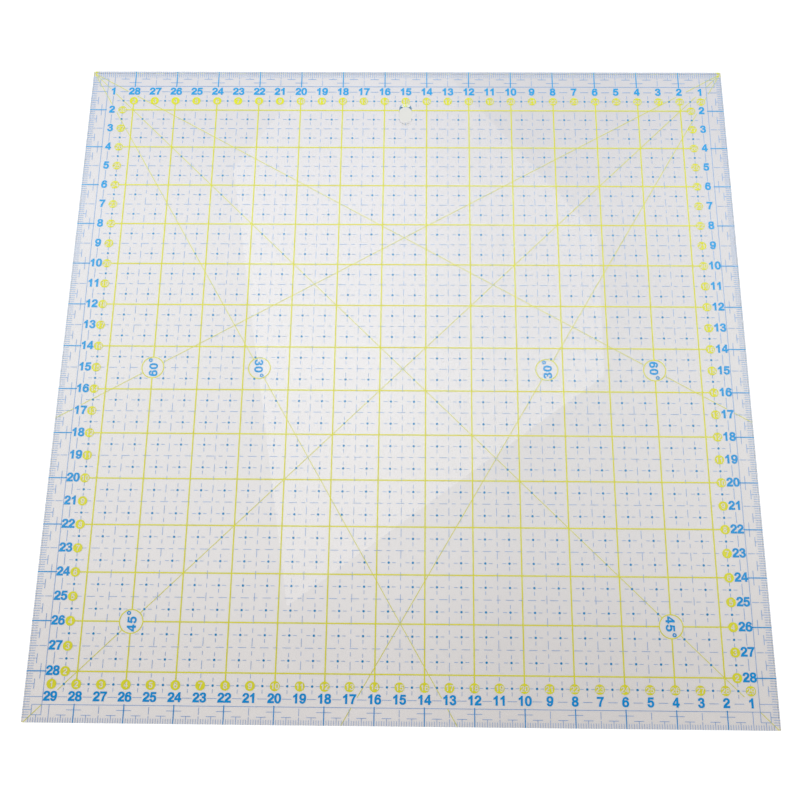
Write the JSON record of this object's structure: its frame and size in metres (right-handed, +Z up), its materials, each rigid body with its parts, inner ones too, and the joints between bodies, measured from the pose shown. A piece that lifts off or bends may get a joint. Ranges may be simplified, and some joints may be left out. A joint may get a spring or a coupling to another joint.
{
  "type": "quilting ruler",
  "caption": "Square clear acrylic quilting ruler with centimetre graduations, grid and 30, 45 and 60 degree lines printed underneath, and an oblong hanging hole.",
  "frame": {"origin": "middle of the ruler's plan, on the surface it lies on", "axes": "+Z up through the plate's thickness, +Y towards the far edge with the hanging hole, +X to the right across the ruler"},
  "size_m": [0.3, 0.3, 0.0031],
  "materials": {
    "acrylic": "clear cast acrylic sheet, polished faces, sawn and scraped edges",
    "yellow_ink": "screen-printed translucent lemon yellow ink",
    "blue_ink": "screen-printed translucent mid blue ink"
  },
  "bodies": {
    "root": {"acrylic_plate": "acrylic", "yellow_grid": "yellow_ink", "yellow_corner_fan_left": "yellow_ink", "yellow_line_end_30_left": "yellow_ink", "yellow_line_end_45_left": "yellow_ink", "yellow_line_end_60_left": "yellow_ink", "yellow_corner_fan_right": "yellow_ink", "yellow_line_end_30_right": "yellow_ink", "yellow_line_end_45_right": "yellow_ink", "yellow_line_end_60_right": "yellow_ink", "blue_border": "blue_ink"}
  },
  "joints": []
}
